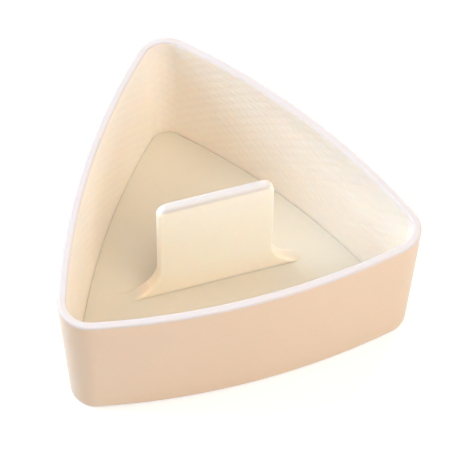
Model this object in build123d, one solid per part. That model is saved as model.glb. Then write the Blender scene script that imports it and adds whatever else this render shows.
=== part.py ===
from build123d import *
import math
import os

# Sizes are in millimetres and angles in degrees. The mold stands on the table with its
# pointed corner towards +Y and one bowed side facing -Y.

# Plan of the mold body, measured on the outside at the rim.
corner_spacing = 80.0
corner_radius = 8.7
side_radius = 194.0

# Wall, floor and foot of the mold body. The wall is measured at the rim, where it is thickest.
mold_height = 42.0
wall = 2.4
outside_draft = 2.4
cavity_draft = 1.6
floor_thickness = 1.4
foot_height = 0.5
foot_width = 2.6
rim_rounding = 0.7
base_rounding = 2.0
cavity_rounding = 0.4

# Press plate, which drops into the mold and lies on its floor.
plate_thickness = 1.5
plate_clearance = 0.2
plate_rounding = 0.3

# Upright handle in the middle of the press plate.
handle_length = 32.0
handle_height = 38.0
handle_thickness = 2.8
handle_draft = 0.9
handle_corner_radius = 3.0
handle_flare_radius = 11.0
handle_rounding = 0.9
flare_sink = 0.2

# The three corner centres are an equilateral triangle about the plan's own centre.
centre_to_corner = corner_spacing / math.sqrt(3)
centre_to_side = centre_to_corner / 2
side_bow = side_radius - math.sqrt((side_radius - corner_radius) ** 2 - (corner_spacing / 2) ** 2)
apex_reach = centre_to_corner + corner_radius
side_reach = centre_to_side + side_bow

# The origin is on the table, in the middle of the length from the bowed side to the point.
plan_centre_y = (side_reach - apex_reach) / 2

floor_level = foot_height + floor_thickness
plate_top = floor_level + plate_thickness
handle_root = floor_level + plate_thickness / 2
handle_top = plate_top + handle_height


def along(angle, distance):
    """A point in the plan, at an angle and distance from the plan's centre."""
    turn = math.radians(angle)
    return Vector(distance * math.cos(turn), distance * math.sin(turn))


def bowed_triangle(inset):
    """Triangle of three bowed sides and three round corners, drawn inside the rim's outline."""
    corner = corner_radius - inset
    side = side_radius - inset
    side_centre_distance = side_reach - side_radius
    edges = []
    for corner_angle in (90, 210, 330):
        side_angle = corner_angle + 60
        corner_centre = along(corner_angle, centre_to_corner)
        next_centre = along(corner_angle + 120, centre_to_corner)
        side_centre = along(side_angle, side_centre_distance)
        before = along(corner_angle - 60, side_centre_distance)
        start = corner_centre + (corner_centre - before).normalized() * corner
        middle = corner_centre + along(corner_angle, corner)
        end = corner_centre + (corner_centre - side_centre).normalized() * corner
        side_middle = side_centre + along(side_angle, side)
        side_end = next_centre + (next_centre - side_centre).normalized() * corner
        edges.append(ThreePointArc(start, middle, end))
        edges.append(ThreePointArc(end, side_middle, side_end))
    return Pos(0, plan_centre_y) * make_face(edges)


def inset_at(level, draft):
    """How far a wall of this draft has drawn in, at a level, from where it is at the rim."""
    return (mold_height - level) * math.tan(math.radians(draft))


def drafted_block(inset, draft, bottom, top):
    """Solid between two levels whose side leans by the draft. The inset is what it has at the rim."""
    outline = Pos(0, 0, bottom) * bowed_triangle(inset_at(bottom, draft) + inset)
    return extrude(outline, amount=top - bottom, taper=-draft)


def edges_at(solid, level):
    """The edges that lie flat at one level."""
    return solid.edges().filter_by_position(Axis.Z, level, level)


def mold_body():
    """Open triangular cup: drafted wall, thin floor, and a foot that keeps the floor off the table."""
    outside = drafted_block(0, outside_draft, 0, mold_height)
    outside = fillet(edges_at(outside, 0), base_rounding)
    cavity = drafted_block(wall, cavity_draft, floor_level, mold_height)
    cavity = fillet(edges_at(cavity, floor_level), cavity_rounding)
    foot_inner_edge = inset_at(0, outside_draft) + base_rounding + foot_width
    recess = extrude(bowed_triangle(foot_inner_edge), amount=foot_height)
    cup = outside - cavity - recess
    return fillet(edges_at(cup, mold_height), min(rim_rounding, 0.4 * wall))


def press_plate():
    """Flat plate of the cavity's own outline, a little smaller all round."""
    plate = drafted_block(wall + plate_clearance, cavity_draft, floor_level, plate_top)
    rims = edges_at(plate, floor_level) + edges_at(plate, plate_top)
    return fillet(rims, min(plate_rounding, plate_thickness / 3))


def handle_front():
    """Front outline of the handle: upright ends, round top corners and hollow flares at the foot."""
    half = handle_length / 2
    flare_bottom = plate_top - flare_sink
    flare_top = flare_bottom + handle_flare_radius
    tip = half + handle_flare_radius
    shoulder = handle_top - handle_corner_radius
    inner = half - handle_corner_radius
    right_side = [
        RadiusArc((tip, flare_bottom), (half, flare_top), handle_flare_radius),
        Line((half, flare_top), (half, shoulder)),
        RadiusArc((half, shoulder), (inner, handle_top), -handle_corner_radius),
    ]
    left_side = [mirror(edge, about=Plane.YZ) for edge in right_side]
    closing = [
        Line((inner, handle_top), (-inner, handle_top)),
        Line((tip, flare_bottom), (tip, handle_root)),
        Line((tip, handle_root), (-tip, handle_root)),
        Line((-tip, handle_root), (-tip, flare_bottom)),
    ]
    return Plane.XZ * make_face(right_side + left_side + closing)


def handle_end():
    """End outline of the handle: it thins towards the top so that it leaves its tool."""
    half_top = handle_thickness / 2
    half_root = half_top + (handle_top - handle_root) * math.tan(math.radians(handle_draft))
    corners = [
        (half_root, handle_root),
        (half_top, handle_top),
        (-half_top, handle_top),
        (-half_root, handle_root),
    ]
    return Plane.YZ * make_face(Polyline(*corners, close=True))


def handle():
    """Upright handle across the plate, with its outline softened on both faces."""
    front = extrude(handle_front(), amount=handle_height, both=True)
    end = extrude(handle_end(), amount=handle_length + handle_flare_radius, both=True)
    blade = front & end
    broad_faces = blade.faces().sort_by(SortBy.AREA)[-2:]
    outline = [edge for face in broad_faces for edge in face.edges() if edge.center().Z > plate_top]
    return fillet(outline, min(handle_rounding, 0.45 * handle_thickness))


def press():
    """Plate and handle, one moulding. The handle stands over the middle of the triangle."""
    return press_plate() + Pos(0, plan_centre_y) * handle()


os.makedirs("parts", exist_ok=True)
export_step(mold_body(), "parts/mold_body.step")
export_step(press(), "parts/press.step")
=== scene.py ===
import math

import bmesh
import bpy
from mathutils import Matrix, Vector


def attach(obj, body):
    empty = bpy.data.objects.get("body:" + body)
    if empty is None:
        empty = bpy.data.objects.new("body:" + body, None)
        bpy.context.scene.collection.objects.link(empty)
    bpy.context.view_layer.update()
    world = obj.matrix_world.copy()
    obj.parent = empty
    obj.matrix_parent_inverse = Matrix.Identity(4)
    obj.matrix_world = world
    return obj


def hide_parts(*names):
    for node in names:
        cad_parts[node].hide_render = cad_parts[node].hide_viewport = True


# Lengths are in metres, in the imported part's own frame: the mold stands on the table, with its
# point towards +Y and one bowed side towards the camera.
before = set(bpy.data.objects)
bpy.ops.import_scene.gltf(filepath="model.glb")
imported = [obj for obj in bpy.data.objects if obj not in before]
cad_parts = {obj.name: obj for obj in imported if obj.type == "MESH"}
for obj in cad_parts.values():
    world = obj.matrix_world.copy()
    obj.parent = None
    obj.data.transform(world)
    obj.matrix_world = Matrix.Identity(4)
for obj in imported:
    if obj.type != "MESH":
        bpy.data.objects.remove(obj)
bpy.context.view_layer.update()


# Camera. The photograph looks down on the mold from a little left of its front side, from far
# enough away that the walls hardly converge. The camera is rolled by a degree.
view_azimuth = math.radians(-17.989)
view_elevation = math.radians(55.319)
view_roll = math.radians(1.091)
view_distance = 0.645723
view_target = Vector((0.001025, -0.023502, 0.0420))
nearest_seen = 0.01
farthest_seen = 20.0
sensor_width_mm = 36.0
photo_width_px = 470
focal_length_px = 2493.9


def put_in_scene(name, data):
    """A new object at the origin that holds a mesh, a lamp or a camera."""
    obj = bpy.data.objects.new(name, data)
    bpy.context.scene.collection.objects.link(obj)
    return obj


def towards(azimuth, elevation):
    """Direction to a place round the mold. The azimuth is 0 in front and grows to the right."""
    return Vector((
        math.sin(azimuth) * math.cos(elevation),
        -math.cos(azimuth) * math.cos(elevation),
        math.sin(elevation),
    ))


camera = put_in_scene("camera", bpy.data.cameras.new("camera"))
camera.data.sensor_width = sensor_width_mm
camera.data.lens = focal_length_px / photo_width_px * sensor_width_mm
camera.data.clip_start = nearest_seen
camera.data.clip_end = farthest_seen
towards_camera = towards(view_azimuth, view_elevation)
level_right = Vector((math.cos(view_azimuth), math.sin(view_azimuth), 0.0))
level_up = towards_camera.cross(level_right)
camera_right = level_right * math.cos(view_roll) + level_up * math.sin(view_roll)
camera_up = level_up * math.cos(view_roll) - level_right * math.sin(view_roll)
camera_axes = Matrix((camera_right, camera_up, towards_camera)).transposed()
camera.matrix_world = camera_axes.to_4x4()
camera.location = view_target + towards_camera * view_distance
bpy.context.scene.camera = camera


# Mold body. The triangular cup that shapes the rice is one injection moulding in warm ivory
# polypropylene. Its bowed walls lean out towards the rim so that it leaves the tool, and their
# inner faces are moulded with low crowned diamond pads, which keep the rice from sticking.
corner_spacing = 0.0800
corner_radius = 0.0087
side_radius = 0.1940
mold_height = 0.0420
wall = 0.0024
outside_slope = math.tan(math.radians(2.4))
cavity_slope = math.tan(math.radians(1.6))
foot_height = 0.0005
foot_width = 0.0026
foot_edge_rounding = 0.00015
floor_level = 0.0019
rim_rounding = 0.0007
base_rounding = 0.0020
cavity_rounding = 0.0004

# The flat strip that a section keeps beside the wall, before the floor closes to the middle.
floor_strip = 0.004
points_per_arc = 96
weld_distance = 0.000002
mold_crease_angle = math.radians(40)

pads_round = 70
pad_height = 0.00339
pad_relief = 0.00013
pad_rows_of_points = 12
pad_columns_of_points = 6
pad_band_bottom = 0.0036
pad_band_rows = 11
pad_band_top = pad_band_bottom + pad_band_rows * pad_height
pad_band_fade = 0.0006
inner_wall_from = 0.99

# Painted light and shade as colours, and where each is reached on the way across the rim: 0 is its
# outside, 1 its inside.
# The one ivory plastic is painted a darker peach outside for shade, greyer on the rim against the
# strong light from above, and a little darker in the grooves for their shade.
outer_shade_colour = (0.872, 0.653, 0.466)
rim_shade_colour = (0.648, 0.604, 0.600)
inner_colour = (0.940, 0.850, 0.757)
groove_shade_colour = (0.935, 0.843, 0.748)
painted_light_across_rim_stops = (
    (0.0, outer_shade_colour),
    (0.07, rim_shade_colour),
    (0.95, rim_shade_colour),
    (1.0, inner_colour),
)

# The plastic lets a little light bleed under its surface, red furthest.
mold_roughness = 0.42
mold_bleed = 0.0003
bleed_by_colour = (1.0, 0.8, 0.6)
plastic_ior = 1.49
roughness_spread = 0.05
cloud_scale = 28.0
cloud_darkest = 0.985
grain_scale = 2600.0
grain_height = 0.00003
grain_strength = 0.25

corner_reach = corner_spacing / math.sqrt(3)
side_half_turn = math.asin(corner_spacing / 2 / (side_radius - corner_radius))
corner_half_turn = math.radians(60) - side_half_turn
side_bow = side_radius - math.sqrt((side_radius - corner_radius) ** 2 - (corner_spacing / 2) ** 2)
side_reach = corner_reach / 2 + side_bow
plan_centre = Vector((0.0, (side_reach - corner_reach - corner_radius) / 2, 0.0))


def inset_at(level, slope):
    """How far a wall that leans by a slope has drawn in, at a height, from where it is at the rim."""
    return (mold_height - level) * slope


def rounded(before, corner, after, radius, steps):
    """Points of the arc that rounds a corner, with one close neighbour on each straight."""
    inward = (corner - before).normalized()
    outward = (after - corner).normalized()
    turn = inward.angle(outward)
    start = corner - inward * (radius * math.tan(turn / 2))
    bisector = (outward - inward).normalized()
    centre = corner + bisector * radius / math.cos(turn / 2)
    spoke = start - centre
    neighbour = 0.1
    points = [start - inward * neighbour * radius]
    for step in range(steps + 1):
        share = turn * step / steps
        points.append(centre + spoke * math.cos(share) + inward * radius * math.sin(share))
    points.append(points[-1] + outward * neighbour * radius)
    return points


def evenly(start, end, count):
    """Points that divide a straight into count parts, without its two ends."""
    return [start.lerp(end, step / count) for step in range(1, count)]


def section_mesh(name, bottom, wall_points, top):
    """Section of a moulding. X is the inset from the rim's outline, Z the height, and Y how far
    the outline has shrunk to the plan's centre, which closes the floors. Each point also says how
    far it is across the rim, 0 on the outside and 1 on the inside, for the cup's pads and for its
    painted light and shade."""
    edge_in = wall_points[0].x
    edge_out = wall_points[-1].x
    shrinks = (1.0, 0.75, 0.5, 0.25)
    points = [Vector((edge_in, shrink, bottom)) for shrink in shrinks]
    points += [Vector((point.x, 0.0, point.y)) for point in wall_points]
    points += [Vector((edge_out, shrink, top)) for shrink in reversed(shrinks)]
    mesh = bpy.data.meshes.new(name)
    mesh.from_pydata(points, [(i, i + 1) for i in range(len(points) - 1)], [])
    summit = max(range(len(points)), key=lambda i: points[i].z)
    across = [float(i > summit) for i in range(len(points))]
    for i, point in enumerate(points):
        if point.z > points[summit].z - rim_rounding and point.y == 0.0:
            across[i] = min(1.0, point.x / wall)
    mesh.attributes.new("across_rim", "FLOAT", "POINT").data.foreach_set("value", across)
    return mesh


def node(tree, kind, inputs=None, **settings):
    """A node with its properties set, and its inputs filled with values or linked to sockets."""
    made = tree.nodes.new(kind)
    for name, value in settings.items():
        setattr(made, name, value)
    for name, value in (inputs or {}).items():
        if isinstance(value, bpy.types.NodeSocket):
            tree.links.new(value, made.inputs[name])
        else:
            made.inputs[name].default_value = value
    return made


def maths(tree, operation, first, second=0.0, third=0.0):
    """The result of one sum on numbers or sockets."""
    inputs = {0: first, 1: second, 2: third}
    return node(tree, "ShaderNodeMath", inputs, operation=operation).outputs[0]


def vector_maths(tree, operation, first, second):
    """The result of one vector sum. A scale takes its number from the Scale input."""
    inputs = {0: first, "Scale" if operation == "SCALE" else 1: second}
    return node(tree, "ShaderNodeVectorMath", inputs, operation=operation).outputs[0]


def named_number(tree, name):
    """A number that each point of the mesh carries, by its name, in a Geometry Nodes tree."""
    return node(tree, "GeometryNodeInputNamedAttribute", {"Name": name}, data_type="FLOAT").outputs[0]


def with_number(tree, geometry, name, value):
    """The geometry with a number stored on each of its points."""
    inputs = {"Geometry": geometry, "Name": name, "Value": value}
    kind = "GeometryNodeStoreNamedAttribute"
    return node(tree, kind, inputs, data_type="FLOAT", domain="POINT").outputs[0]


def grow_tree(name, sizes):
    """A Geometry Nodes tree that takes a mesh and named sizes, and gives a mesh."""
    tree = bpy.data.node_groups.new(name, "GeometryNodeTree")
    tree.interface.new_socket("Geometry", in_out="INPUT", socket_type="NodeSocketGeometry")
    for size, kind in sizes.items():
        tree.interface.new_socket(size, in_out="INPUT", socket_type="NodeSocket" + kind)
    tree.interface.new_socket("Geometry", in_out="OUTPUT", socket_type="NodeSocketGeometry")
    return tree, tree.nodes.new("NodeGroupInput").outputs


def finish_tree(tree, geometry, material):
    """Makes instances real and sets the material, which ends the tree."""
    real = node(tree, "GeometryNodeRealizeInstances", {"Geometry": geometry}).outputs[0]
    painted = node(tree, "GeometryNodeSetMaterial", {"Geometry": real, "Material": material})
    output = tree.nodes.new("NodeGroupOutput")
    tree.links.new(painted.outputs[0], output.inputs["Geometry"])


def add_tree(obj, tree, values):
    """Adds the tree to the object as a modifier, with each named input set."""
    modifier = obj.modifiers.new(tree.name, "NODES")
    modifier.node_group = tree
    for socket in tree.interface.items_tree:
        if socket.in_out == "INPUT" and socket.name in values:
            modifier[socket.identifier] = values[socket.name]


def grown_mesh(obj, material, sharp_angle):
    """Turns the object into the plain mesh that its modifiers make of it, in one material, and
    smooth but for its creases."""
    evaluated = obj.evaluated_get(bpy.context.evaluated_depsgraph_get())
    mesh = bpy.data.meshes.new_from_object(evaluated)
    obj.modifiers.clear()
    obj.data = mesh
    mesh.materials.clear()
    mesh.materials.append(material)
    mesh.polygons.foreach_set("material_index", [0] * len(mesh.polygons))
    mesh.shade_smooth()
    mesh.set_sharp_from_angle(angle=sharp_angle)


def bowed_sweep_tree():
    """Sweeps a section round the bowed triangle: three corner arcs and three side arcs in turn."""
    tree, given = grow_tree("bowed_sweep", {
        "Corner Reach": "Float", "Corner Radius": "Float", "Corner Turn": "Float",
        "Side Reach": "Float", "Side Radius": "Float", "Side Turn": "Float",
        "Plan Centre": "Vector", "Pitch Inset": "Float", "Columns": "Int", "Stagger": "Float",
        "Material": "Material",
    })

    side_centre = maths(tree, "SUBTRACT", given["Side Reach"], given["Side Radius"])
    arcs = []
    for part, distance, lead in (
        ("Corner", given["Corner Reach"], 0.0),
        ("Side", side_centre, math.radians(60)),
    ):
        half_turn = maths(tree, "MULTIPLY", given[part + " Turn"], 0.5)
        arc = node(tree, "GeometryNodeCurveArc", {
            "Resolution": points_per_arc,
            "Radius": maths(tree, "SUBTRACT", given[part + " Radius"], given["Pitch Inset"]),
            "Start Angle": maths(tree, "SUBTRACT", math.radians(90), half_turn),
            "Sweep Angle": given[part + " Turn"],
        }, mode="RADIUS")
        centre = node(tree, "ShaderNodeCombineXYZ", {"Y": distance}).outputs[0]
        placed = node(tree, "GeometryNodeTransform", {
            "Geometry": arc.outputs[0], "Translation": centre,
        })
        arcs.append((placed.outputs[0], lead))

    # Three turns of the two arcs make the outline. The node takes its last link first, so the arcs
    # are linked in reverse.
    outline = tree.nodes.new("GeometryNodeJoinGeometry")
    for third in (2, 1, 0):
        for curve, lead in reversed(arcs):
            turned = node(tree, "GeometryNodeTransform", {
                "Geometry": curve, "Rotation": (0.0, 0.0, math.radians(120) * third + lead),
            })
            tree.links.new(turned.outputs[0], outline.inputs[0])

    # A grid with one row for each point of the section, whose columns run round the outline.
    points = node(tree, "GeometryNodeAttributeDomainSize", {
        "Geometry": given["Geometry"],
    }, component="MESH")
    rows = points.outputs["Point Count"]
    grid = node(tree, "GeometryNodeMeshGrid", {
        "Vertices X": maths(tree, "ADD", given["Columns"], 1.0), "Vertices Y": rows,
    })
    index = tree.nodes.new("GeometryNodeInputIndex").outputs[0]
    row = maths(tree, "MODULO", index, rows)
    column = maths(tree, "FLOOR", maths(tree, "DIVIDE", index, rows))
    shift = maths(tree, "MULTIPLY", maths(tree, "MODULO", row, 2.0), given["Stagger"])
    around = maths(tree, "DIVIDE", maths(tree, "ADD", column, shift), given["Columns"])

    # Each grid point goes out or in from the outline by its own inset, and up to its own height.
    place = tree.nodes.new("GeometryNodeInputPosition").outputs[0]
    section = node(tree, "GeometryNodeSampleIndex", {
        "Geometry": given["Geometry"], 1: place, "Index": row,
    }, data_type="FLOAT_VECTOR")
    size = node(tree, "ShaderNodeSeparateXYZ", {0: section.outputs[0]}).outputs
    sample = node(tree, "GeometryNodeSampleCurve", {
        "Curves": outline.outputs[0], "Factor": maths(tree, "FRACT", around),
    }, mode="FACTOR", use_all_curves=True)
    outward = node(tree, "ShaderNodeVectorRotate", {
        "Vector": sample.outputs["Tangent"], "Angle": math.radians(-90),
    }, rotation_type="Z_AXIS").outputs[0]
    step_out = maths(tree, "SUBTRACT", given["Pitch Inset"], size["X"])
    stepped = vector_maths(tree, "SCALE", outward, step_out)
    edge = vector_maths(tree, "ADD", sample.outputs["Position"], stepped)
    plan = vector_maths(tree, "SCALE", edge, maths(tree, "SUBTRACT", 1.0, size["Y"]))
    height = node(tree, "ShaderNodeCombineXYZ", {"Z": size["Z"]}).outputs[0]
    final = vector_maths(tree, "ADD", vector_maths(tree, "ADD", plan, height), given["Plan Centre"])
    swept = node(tree, "GeometryNodeSetPosition", {
        "Geometry": grid.outputs["Mesh"], "Position": final,
    })

    across_rim = node(tree, "GeometryNodeSampleIndex", {
        "Geometry": given["Geometry"], "Value": named_number(tree, "across_rim"), "Index": row,
    }, data_type="FLOAT").outputs[0]
    marked = with_number(tree, swept.outputs[0], "around", around)
    marked = with_number(tree, marked, "across_rim", across_rim)
    closed = node(tree, "GeometryNodeMergeByDistance", {
        "Geometry": marked, "Distance": weld_distance,
    })
    finish_tree(tree, closed.outputs[0], given["Material"])
    return tree


def diamond_pads_tree():
    """Raises crowned diamond pads on the inner wall, between two crossing families of grooves."""
    tree, given = grow_tree("diamond_pads", {
        "Pads Round": "Int", "Pad Height": "Float", "Relief": "Float", "Band Bottom": "Float",
        "Band Top": "Float", "Band Fade": "Float", "Material": "Material",
    })
    triangles = node(tree, "GeometryNodeTriangulate", {
        "Mesh": given["Geometry"],
    }, quad_method="SHORTEST_DIAGONAL")
    place = tree.nodes.new("GeometryNodeInputPosition").outputs[0]
    height = node(tree, "ShaderNodeSeparateXYZ", {0: place}).outputs["Z"]
    above = maths(tree, "SUBTRACT", height, given["Band Bottom"])
    across = maths(tree, "MULTIPLY", named_number(tree, "around"), given["Pads Round"])
    up = maths(tree, "DIVIDE", above, given["Pad Height"])

    # 1 on the inner wall, fading to 0 at the band's two edges.
    band = maths(tree, "GREATER_THAN", named_number(tree, "across_rim"), inner_wall_from)
    fade_end = maths(tree, "ADD", given["Band Bottom"], given["Band Fade"])
    fade_start = maths(tree, "SUBTRACT", given["Band Top"], given["Band Fade"])
    for edge, full in ((given["Band Bottom"], fade_end), (given["Band Top"], fade_start)):
        fade = node(tree, "ShaderNodeMapRange", {"Value": height, "From Min": edge, "From Max": full})
        band = maths(tree, "MULTIPLY", band, fade.outputs[0])

    # Each family's crown is 1 halfway between two grooves and 0 in them.
    crowned = band
    for crossing in ("ADD", "SUBTRACT"):
        groove_number = maths(tree, crossing, across, up)
        off_middle = maths(tree, "SUBTRACT", maths(tree, "FRACT", groove_number), 0.5)
        squared = maths(tree, "MULTIPLY", off_middle, off_middle)
        crowned = maths(tree, "MULTIPLY", crowned, maths(tree, "MULTIPLY_ADD", squared, -4.0, 1.0))
    rise = maths(tree, "MULTIPLY", crowned, given["Relief"])
    normal = tree.nodes.new("GeometryNodeInputNormal").outputs[0]
    raised = node(tree, "GeometryNodeSetPosition", {
        "Geometry": triangles.outputs[0], "Offset": vector_maths(tree, "SCALE", normal, rise),
    })
    # The grooves' mask, which the mold's plastic turns into painted shade in the grooves.
    groove = maths(tree, "SUBTRACT", band, crowned)
    grooved = with_number(tree, raised.outputs[0], "groove", groove)
    finish_tree(tree, grooved, given["Material"])
    return tree


def cup_wall_points():
    """The cup's section from the foot's inner edge, up the outside, over the rim, to the floor."""
    foot_inset = inset_at(0.0, outside_slope) + base_rounding + foot_width
    under_floor = Vector((foot_inset + floor_strip, foot_height))
    foot_root = Vector((foot_inset, foot_height))
    foot_edge = Vector((foot_inset, 0.0))
    base_corner = Vector((inset_at(0.0, outside_slope), 0.0))
    rim_outside = Vector((0.0, mold_height))
    rim_inside = Vector((wall, mold_height))
    band_top = Vector((inset_at(pad_band_top, cavity_slope) + wall, pad_band_top))
    band_bottom = Vector((inset_at(pad_band_bottom, cavity_slope) + wall, pad_band_bottom))
    floor_corner = Vector((inset_at(floor_level, cavity_slope) + wall, floor_level))
    on_floor = floor_corner + Vector((floor_strip, 0.0))

    foot = rounded(foot_root, foot_edge, base_corner, foot_edge_rounding, steps=2)
    base = rounded(foot_edge, base_corner, rim_outside, base_rounding, steps=8)
    rim_out = rounded(base_corner, rim_outside, rim_inside, rim_rounding, steps=6)
    rim_in = rounded(rim_outside, rim_inside, floor_corner, rim_rounding, steps=6)
    root = rounded(rim_inside, floor_corner, on_floor, cavity_rounding, steps=4)
    outside = evenly(base[-1], rim_out[0], count=9)
    strip = evenly(rim_in[-1], band_top, count=3)
    pads = evenly(band_top, band_bottom, count=pad_band_rows * pad_rows_of_points)
    return (
        [under_floor, foot_root] + foot + base + outside + rim_out + rim_in + strip
        + [band_top] + pads + [band_bottom] + root + [on_floor]
    )


def ivory_plastic(name, painted_tint, roughness, bleed):
    """Satin ivory polypropylene: a faintly cloudy tint and a fine moulded grain, a little
    translucent. Its base colour is the painted light and shade that the given tint makes."""
    material = bpy.data.materials.new(name)
    material.use_nodes = True
    tree = material.node_tree
    shader = tree.nodes["Principled BSDF"]
    shader.inputs["IOR"].default_value = plastic_ior
    shader.inputs["Subsurface Weight"].default_value = 1.0
    shader.inputs["Subsurface Radius"].default_value = bleed_by_colour
    shader.inputs["Subsurface Scale"].default_value = bleed
    place = tree.nodes.new("ShaderNodeTexCoord").outputs["Object"]
    cloud = node(tree, "ShaderNodeTexNoise", {
        "Vector": place, "Scale": cloud_scale, "Detail": 3.0,
    })
    shade = node(tree, "ShaderNodeMapRange", {
        "Value": cloud.outputs[0], "To Min": cloud_darkest, "To Max": 1.0,
    })
    tint = node(tree, "ShaderNodeMix", {
        "Factor": 1.0, "A": painted_tint(tree), "B": shade.outputs[0],
    }, data_type="RGBA", blend_type="MULTIPLY")
    tree.links.new(tint.outputs["Result"], shader.inputs["Base Color"])
    grain = node(tree, "ShaderNodeTexNoise", {
        "Vector": place, "Scale": grain_scale, "Detail": 2.0,
    })
    gloss = node(tree, "ShaderNodeMapRange", {
        "Value": grain.outputs[0],
        "To Min": roughness - roughness_spread, "To Max": roughness + roughness_spread,
    })
    tree.links.new(gloss.outputs[0], shader.inputs["Roughness"])
    bump = node(tree, "ShaderNodeBump", {
        "Height": grain.outputs[0], "Strength": grain_strength, "Distance": grain_height,
    })
    tree.links.new(bump.outputs[0], shader.inputs["Normal"])
    return material


def colour_ramp(tree, value, stops):
    """A colour for a value between 0 and 1, from a list of places and colours."""
    ramp = node(tree, "ShaderNodeValToRGB", {"Fac": value})
    elements = ramp.color_ramp.elements
    elements.remove(elements[1])
    for i, (place, colour) in enumerate(stops):
        element = elements[0] if i == 0 else elements.new(place)
        element.position = place
        element.color = (*colour, 1.0)
    return ramp.outputs["Color"]


def mold_painted_light(tree):
    """Painted light and shade on one ivory plastic: the outside painted a darker peach for shade, the
    rim painted greyer so that it comes out nearly white under the strong light from above, pale ivory
    on the inside, and a painted shade a little deeper in the grooves between its pads."""
    across_rim = node(tree, "ShaderNodeAttribute", attribute_name="across_rim").outputs["Fac"]
    groove = node(tree, "ShaderNodeAttribute", attribute_name="groove").outputs["Fac"]
    return node(tree, "ShaderNodeMix", {
        "Factor": groove, "A": colour_ramp(tree, across_rim, painted_light_across_rim_stops),
        "B": (*groove_shade_colour, 1.0),
    }, data_type="RGBA").outputs["Result"]


# The sweep spaces its columns evenly along the cavity's outline at half height. Every other row of
# the cup's points is shifted by half a column, so that the pads' slanting grooves follow its edges.
outline_sizes = {
    "Corner Reach": corner_reach, "Corner Radius": corner_radius,
    "Corner Turn": 2 * corner_half_turn,
    "Side Reach": side_reach, "Side Radius": side_radius, "Side Turn": 2 * side_half_turn,
    "Plan Centre": plan_centre, "Pitch Inset": wall + inset_at(mold_height / 2, cavity_slope),
}
bowed_sweep = bowed_sweep_tree()
mold_plastic = ivory_plastic("ivory_mold_plastic", mold_painted_light, mold_roughness, mold_bleed)
cup_section = section_mesh("cup_section", foot_height, cup_wall_points(), floor_level)
mold_body = put_in_scene("mold_body_moulding", cup_section)
add_tree(mold_body, bowed_sweep, {
    **outline_sizes, "Columns": pads_round * pad_columns_of_points, "Stagger": 0.5,
    "Material": mold_plastic,
})
add_tree(mold_body, diamond_pads_tree(), {
    "Pads Round": pads_round, "Pad Height": pad_height, "Relief": pad_relief,
    "Band Bottom": pad_band_bottom, "Band Top": pad_band_top, "Band Fade": pad_band_fade,
    "Material": mold_plastic,
})
grown_mesh(mold_body, mold_plastic, mold_crease_angle)
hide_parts("mold_body")
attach(mold_body, "mold")


# Press. The loose plate that squeezes the rice and its upright handle are one injection moulding in
# ivory polypropylene. The plate follows the cup's inner outline with a hair of play. The handle has
# softened edges and thins towards the top, and hollow flares run its two ends out into the plate.
plate_top = 0.0034
plate_play = 0.00004
plate_rounding = 0.00013
plate_columns = 240

handle_length = 0.0320
handle_top = 0.0414
handle_thickness = 0.0028
handle_slope = math.tan(math.radians(0.9))
handle_corner_radius = 0.0030
handle_flare_radius = 0.0110
handle_rounding = 0.0009
flare_sink = 0.0002
handle_foot = 0.00215
flare_steps = 24
corner_steps = 12
edge_steps = 6
press_crease_angle = math.radians(28)

# Painted light and shade as colours, and where each is reached on the way from the plate's top, 0, to
# the handle's top, 1:
# painted shade on the plate and at the handle's foot, painted light up the thin handle, and a greyer
# painted shade on its top edge against the strong light from above.
plate_shade_colour = (0.706, 0.662, 0.564)
foot_shade_colour = (0.97, 0.845, 0.71)
handle_light_colour = (0.999, 0.896, 0.789)
tip_shade_colour = (0.64, 0.607, 0.592)
painted_light_up_the_handle_stops = (
    (0.004, plate_shade_colour),
    (0.03, foot_shade_colour),
    (0.3, handle_light_colour),
    (0.96, handle_light_colour),
    (0.985, tip_shade_colour),
)
# The upper sides of the flares keep the plate's painted shade higher up.
flare_tint_start = handle_length / 2 - 0.0005
flare_tint_end = handle_length / 2 + 0.003
flare_tint_delay = 0.72
press_roughness = 0.36
press_bleed = 0.0012


def half_thickness(level):
    """Half the handle's thickness at a height."""
    return handle_thickness / 2 + (handle_top - level) * handle_slope


def plate_wall_points():
    """The plate's section, from its underside, round its edge, to its top."""
    underside = Vector((inset_at(floor_level, cavity_slope) + wall + plate_play, floor_level))
    topside = Vector((inset_at(plate_top, cavity_slope) + wall + plate_play, plate_top))
    under = underside + Vector((floor_strip, 0.0))
    over = topside + Vector((floor_strip, 0.0))
    lower_edge = rounded(under, underside, topside, plate_rounding, steps=5)
    upper_edge = rounded(underside, topside, over, plate_rounding, steps=5)
    return [under] + lower_edge + upper_edge + [over]


def arc_points(centre, radius, start, end, steps):
    """Points along an arc between two angles in degrees, each with the direction away from the
    arc's centre."""
    made = []
    for step in range(steps + 1):
        angle = math.radians(start + (end - start) * step / steps)
        spoke = Vector((math.cos(angle), math.sin(angle)))
        made.append((centre + spoke * radius, spoke))
    return made


def handle_outline():
    """Right half of the handle's front outline, from its foot up: each point with its outward
    direction."""
    half = handle_length / 2
    flare_top = plate_top - flare_sink + handle_flare_radius
    flare_centre = Vector((half + handle_flare_radius, flare_top))
    flare = arc_points(flare_centre, handle_flare_radius, 270, 180, flare_steps)
    flare = [(point, -spoke) for point, spoke in flare]
    shoulder = Vector((half - handle_corner_radius, handle_top - handle_corner_radius))
    straight = []
    for share in (0.02, 0.5, 0.98):
        point = Vector((half, flare_top + (shoulder.y - flare_top) * share))
        straight.append((point, Vector((1.0, 0.0))))
    return flare + straight + arc_points(shoulder, handle_corner_radius, 0, 90, corner_steps)


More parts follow.
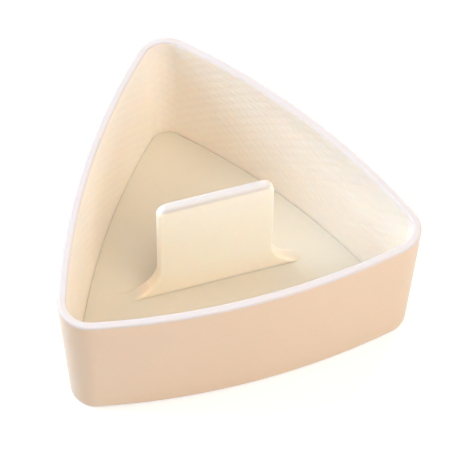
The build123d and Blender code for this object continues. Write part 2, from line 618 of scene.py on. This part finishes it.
def handle_mesh():
    """The handle as rings of its outline, from the back face round its softened edge to the front.
    Its foot ends inside the plate."""
    outline = handle_outline()
    for point, spoke in reversed(handle_outline()):
        outline.append((Vector((-point.x, point.y)), Vector((-spoke.x, spoke.y))))
    turns = [math.radians(90) * step / edge_steps for step in range(edge_steps, -1, -1)]
    rings = [(turn, 1.0) for turn in turns] + [(turn, -1.0) for turn in reversed(turns)]
    shape = bmesh.new()
    made = []
    for turn, facing in rings:
        sink = handle_rounding * (1 - math.cos(turn))
        drop = handle_rounding * (1 - math.sin(turn))
        row = []
        for point, spoke in outline:
            spot = point - spoke * sink
            depth = plan_centre.y + facing * (half_thickness(spot.y) - drop)
            row.append(shape.verts.new((spot.x, depth, spot.y)))
        foot_depth = plan_centre.y + facing * (half_thickness(handle_foot) - drop)
        right_foot = shape.verts.new((row[0].co.x, foot_depth, handle_foot))
        left_foot = shape.verts.new((row[-1].co.x, foot_depth, handle_foot))
        made.append([right_foot] + row + [left_foot])
    for row, next_row in zip(made, made[1:]):
        for i in range(len(row)):
            j = (i + 1) % len(row)
            shape.faces.new((row[i], row[j], next_row[j], next_row[i]))
    shape.faces.new(made[0])
    shape.faces.new(list(reversed(made[-1])))
    bmesh.ops.recalc_face_normals(shape, faces=shape.faces)
    mesh = bpy.data.meshes.new("handle")
    shape.to_mesh(mesh)
    shape.free()
    return mesh


def press_painted_light(tree):
    """Painted light and shade by height on one ivory plastic: painted shade on the plate, easing over
    the handle's foot, a paler painted light up the thin handle for the light it passes, and a greyer
    painted shade on its top edge. The upper sides of the flares take their colour more slowly, so
    that they keep the plate's painted shade and run out into the plate."""
    place = tree.nodes.new("ShaderNodeTexCoord").outputs["Object"]
    spot = node(tree, "ShaderNodeSeparateXYZ", {0: place}).outputs
    up = node(tree, "ShaderNodeMapRange", {
        "Value": spot["Z"], "From Min": plate_top, "From Max": handle_top,
    })
    on_flare = node(tree, "ShaderNodeMapRange", {
        "Value": maths(tree, "ABSOLUTE", spot["X"]),
        "From Min": flare_tint_start, "From Max": flare_tint_end,
    })
    off_middle = maths(tree, "SUBTRACT", spot["Y"], plan_centre.y)
    foot_half = half_thickness(plate_top)
    on_upper_side = node(tree, "ShaderNodeMapRange", {
        "Value": maths(tree, "ABSOLUTE", off_middle),
        "From Min": foot_half - handle_rounding, "From Max": foot_half,
        "To Min": flare_tint_delay, "To Max": 0.0,
    })
    delay = maths(tree, "MULTIPLY", on_flare.outputs[0], on_upper_side.outputs[0])
    pace = maths(tree, "SUBTRACT", 1.0, delay)
    reached = maths(tree, "MULTIPLY", up.outputs[0], pace)
    return colour_ramp(tree, reached, painted_light_up_the_handle_stops)


press_plastic = ivory_plastic("ivory_press_plastic", press_painted_light, press_roughness, press_bleed)
plate_section = section_mesh("plate_section", floor_level, plate_wall_points(), plate_top)
press = put_in_scene("press_moulding", plate_section)
add_tree(press, bowed_sweep, {
    **outline_sizes, "Columns": plate_columns, "Stagger": 0.0, "Material": press_plastic,
})
handle = put_in_scene("handle", handle_mesh())
joined = press.modifiers.new("one_moulding", "BOOLEAN")
joined.operation = "UNION"
joined.solver = "EXACT"
joined.object = handle
grown_mesh(press, press_plastic, press_crease_angle)
bpy.data.objects.remove(handle)
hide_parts("press")
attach(press, "press")


# Studio. A plain pale table under large soft lamps, as the photograph has it: the background is
# white to the camera, and the table keeps the mold's own soft shadow.
half_table = 3.0
table_colour = (0.55, 0.55, 0.55, 1.0)
table_roughness = 0.8
table_glow = 0.52
white = (1.0, 1.0, 1.0, 1.0)
world_fill = (0.205, 0.157, 0.109, 1.0)

lamp_distance = 0.9
soft = 0.6
small = 0.25
cool_light = (0.65, 0.81, 1.0)
warm_light = (1.0, 0.88, 0.74)
cream_light = (1.0, 0.96, 0.91)
neutral_light = (1.0, 1.0, 1.0)


def background_rays(tree):
    """1 for what the camera, a reflection or a see-through part looks at, and 0 for other rays."""
    rays = tree.nodes.new("ShaderNodeLightPath").outputs
    passed_on = maths(tree, "MAXIMUM", rays["Is Glossy Ray"], rays["Is Transmission Ray"])
    return maths(tree, "MAXIMUM", rays["Is Camera Ray"], passed_on)


def table_material():
    """Pale table that is white to the camera, with the shadow kept."""
    material = bpy.data.materials.new("pale_table")
    material.use_nodes = True
    tree = material.node_tree
    shader = tree.nodes["Principled BSDF"]
    shader.inputs["Base Color"].default_value = table_colour
    shader.inputs["Roughness"].default_value = table_roughness
    shader.inputs["Emission Color"].default_value = white
    glow = maths(tree, "MULTIPLY", background_rays(tree), table_glow)
    tree.links.new(glow, shader.inputs["Emission Strength"])
    return material


def studio_world():
    """White behind everything, and a faint warm fill on the mold."""
    world = bpy.data.worlds.new("studio")
    world.use_nodes = True
    tree = world.node_tree
    light = node(tree, "ShaderNodeMix", {
        "Factor": background_rays(tree), "A": world_fill, "B": white,
    }, data_type="RGBA").outputs["Result"]
    tree.links.new(light, tree.nodes["Background"].inputs["Color"])
    return world


def lamp(name, azimuth, elevation, power, colour, width):
    """A square lamp that faces the mold, from a direction in degrees and with a power in watts."""
    light = bpy.data.lights.new(name, "AREA")
    light.size = width
    light.energy = power
    light.color = colour
    obj = put_in_scene(name, light)
    back = towards(math.radians(azimuth), math.radians(elevation))
    obj.matrix_world = back.to_track_quat("Z", "Y").to_matrix().to_4x4()
    obj.location = back * lamp_distance


table_mesh = bpy.data.meshes.new("table")
table_mesh.from_pydata([
    (-half_table, -half_table, 0.0), (half_table, -half_table, 0.0),
    (half_table, half_table, 0.0), (-half_table, half_table, 0.0),
], [], [(0, 1, 2, 3)])
table_mesh.materials.append(table_material())
table = put_in_scene("table", table_mesh)

lamp("key_lamp", 235, 32, 8.3, cool_light, soft)
lamp("high_key_lamp", 235, 48, 2.7, cool_light, soft)
lamp("side_lamp", 134, 26, 2.8, warm_light, small)
lamp("low_front_lamp", 27, 12, 3.05, cool_light, soft)
lamp("front_lamp", 27, 32, 0.65, neutral_light, soft)
lamp("high_front_lamp", 30, 58, 4.15, warm_light, soft)
lamp("top_lamp", 0, 89, 1.8, cream_light, soft)
bpy.context.scene.world = studio_world()
bpy.context.scene.view_settings.view_transform = "Standard"
